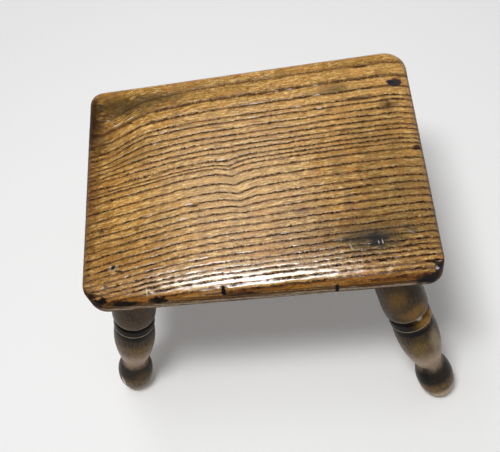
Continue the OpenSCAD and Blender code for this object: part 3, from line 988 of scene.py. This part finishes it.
def evenCut(mesh, height, keepBelow):
    # cuts a leg level and closes the cut
    form = bmesh.new()
    form.from_mesh(mesh)
    cut = bmesh.ops.bisect_plane(form, geom=form.verts[:] + form.edges[:] + form.faces[:], dist=1e-7,
                                 plane_co=(0, 0, height), plane_no=(0, 0, 1),
                                 clear_outer=keepBelow, clear_inner=not keepBelow)
    rim = [e for e in cut["geom_cut"] if isinstance(e, bmesh.types.BMEdge)]
    cap = bmesh.ops.contextual_create(form, geom=rim)["faces"]
    for face in cap:
        if (face.normal.z > 0) != keepBelow:
            face.normal_flip()
    form.to_mesh(mesh)
    form.free()


def legPlace(side, front):
    # foot on the floor, turn and length of one leg, in metres; the back legs are the front ones
    # of the other side, turned half way round
    atLeft = (side == "left") == front
    end = "Left" if atLeft else "Right"
    inward = 1 if atLeft else -1
    plankEnd = seatLow.x if atLeft else seatHigh.x
    socket = Vector((plankEnd + inward * (seat["endSlant"] / 2 + legs["inset" + end]) * mm,
                     seatLow.y + (seat["frontSlant"] / 2 + legs["setback" + end]) * mm, seatLow.z))
    run = Vector((inward * math.tan(math.radians(legs["leanSide" + end])),
                  math.tan(math.radians(legs["leanFront" + end])), 1))
    if not front:
        for vector in (socket, run):
            vector.x, vector.y = -vector.x, -vector.y
    foot = socket - run * seatLow.z
    heading = math.atan2(run.y, run.x)
    tilt = math.atan(math.hypot(run.x, run.y))
    turn = (Matrix.Rotation(heading, 3, "Z") @ Matrix.Rotation(tilt, 3, "Y")
            @ Matrix.Rotation(-heading, 3, "Z"))
    return foot, turn.to_euler(), (socket - foot).length


def legMaterial():
    material, tree, shader = newMaterial("darkTurnedWood")
    x, y, up = parts(output(tree, "ShaderNodeAttribute", "Vector", attribute_name="turned"))
    place = output(tree, "ShaderNodeTexCoord", "Object")
    fibre = useGroup(tree, woodFibre, {"Place": joined(up, x, y), "Streak Length": 24.0,
                                       "Streak Width": 1.8, "Pore Length": 4.0, "Pore Width": 0.6})
    cloud = noiseAt(place, (17, 17, 22), 4.0)
    patch = noiseAt(place, (9, 9, 13), 4.0, 0.65)
    grit = noiseAt(place, (2.2, 2.2, 2.6), 3.0, 0.65)

    def band(start, end, blur):
        # 1 between two places along the leg, in millimetres, with a slightly ragged end
        ragged = (patch - 0.5) * (blur * mm) + up
        rise, fall = (ramp(ragged, (at - blur) * mm, (at + blur) * mm) for at in (start, end))
        return rise - fall

    colour = toneRamp(patch * 0.4 + (fibre["Streaks"] * 0.25 + grit * 0.35), *legFinish["grain"])
    colour = cover(colour, ramp(cloud, 0.5, 0.62) * 0.4, legFinish["ochre"])
    colour = cover(colour, ramp(patch, 0.52, 0.64) * 0.4, legFinish["dark"])
    # bands of colour, with painted shade in the notch and the cove among them
    for start, end, blur, strength, shade in legBands.values():
        colour = cover(colour, band(start, end, blur) * strength, shade)
    colour = layMarks(colour, legMarks.values(), place, patch)
    for lipAt in legFinish["lipsAt"]:
        colour = cover(colour, band(lipAt - 0.3, lipAt + 0.3, 0.5) * 0.85, legFinish["lip"])
    colour = cover(colour, fibre["Pores"] * 0.4, legFinish["pore"])
    height = fibre["Streaks"] * 0.07 + grit * 0.12 - fibre["Pores"] * 0.12
    finishMaterial(shader, colour, ramp(patch, 0.35, 0.65, 0.26, 0.4), height, legFinish["polish"])
    return material


def buildLegs():
    tree = makeTurnedLeg()
    wood = legMaterial()
    for seed, (front, side) in enumerate((f, s) for f in (True, False) for s in ("left", "right")):
        foot, turn, length = legPlace(side, front)
        name = ("front" if front else "back") + side.capitalize() + "Leg"
        host = addObject("legHost", bpy.data.meshes.new("legHost"))
        modifier = host.modifiers.new("turning", "NODES")
        modifier.node_group = tree
        rows = int((length / mm + legs["spareBelow"] + legs["spareAbove"]) / legs["rowLength"])
        values = {label: size * mm for label, size in turning.items()}
        values.update({"Axis Length": length, "Foot": tuple(foot), "Turn": tuple(turn), "Wood": wood,
                       "Seed": 7.0 * seed, "Around": legs["around"] + 1, "Rows": rows})
        setInputs(modifier, tree, values)
        bpy.context.view_layer.update()
        graph = bpy.context.evaluated_depsgraph_get()
        mesh = bpy.data.meshes.new_from_object(host.evaluated_get(graph), preserve_all_data_layers=True,
                                               depsgraph=graph)
        bpy.data.objects.remove(host)
        mesh.name = name
        evenCut(mesh, 0.0, False)
        evenCut(mesh, seatLow.z, True)
        mesh.polygons.foreach_set("use_smooth", np.ones(len(mesh.polygons), bool))
        mesh.set_sharp_from_angle(angle=math.radians(40))
        piece = addObject(name, mesh)
        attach(piece, "root")
        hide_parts(("leg_front_" if front else "leg_back_") + side)
        print(name, "made:", len(mesh.polygons), "faces")


buildLegs()

# Wedges: split from a paler wood, hidden inside the plank
wedges = {"pale": (196, 164, 116), "dark": (158, 122, 78), "pore": (110, 80, 48), "streak": 12.0}


def wedgeMaterial():
    material, tree, shader = newMaterial("rivenWedge")
    x, y, z = parts(output(tree, "ShaderNodeTexCoord", "Object"))
    fibre = useGroup(tree, woodFibre, {"Place": joined(z, x, y), "Streak Length": wedges["streak"],
                                       "Streak Width": 0.8, "Pore Length": 3.0, "Pore Width": 0.3})
    streaks = fibre["Streaks"]
    colour = blend(ramp(streaks, 0.3, 0.7), paint(*wedges["dark"]), paint(*wedges["pale"]))
    colour = cover(colour, fibre["Pores"] * 0.5, wedges["pore"])
    finishMaterial(shader, colour, ramp(streaks, 0.3, 0.7, 0.6, 0.8), streaks, {}, 0.4, 0.3 * mm)
    return material


wedgeWood = wedgeMaterial()
for name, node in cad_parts.items():
    if name.startswith("wedge"):
        node.data.materials.clear()
        node.data.materials.append(wedgeWood)
print("wedges finished")
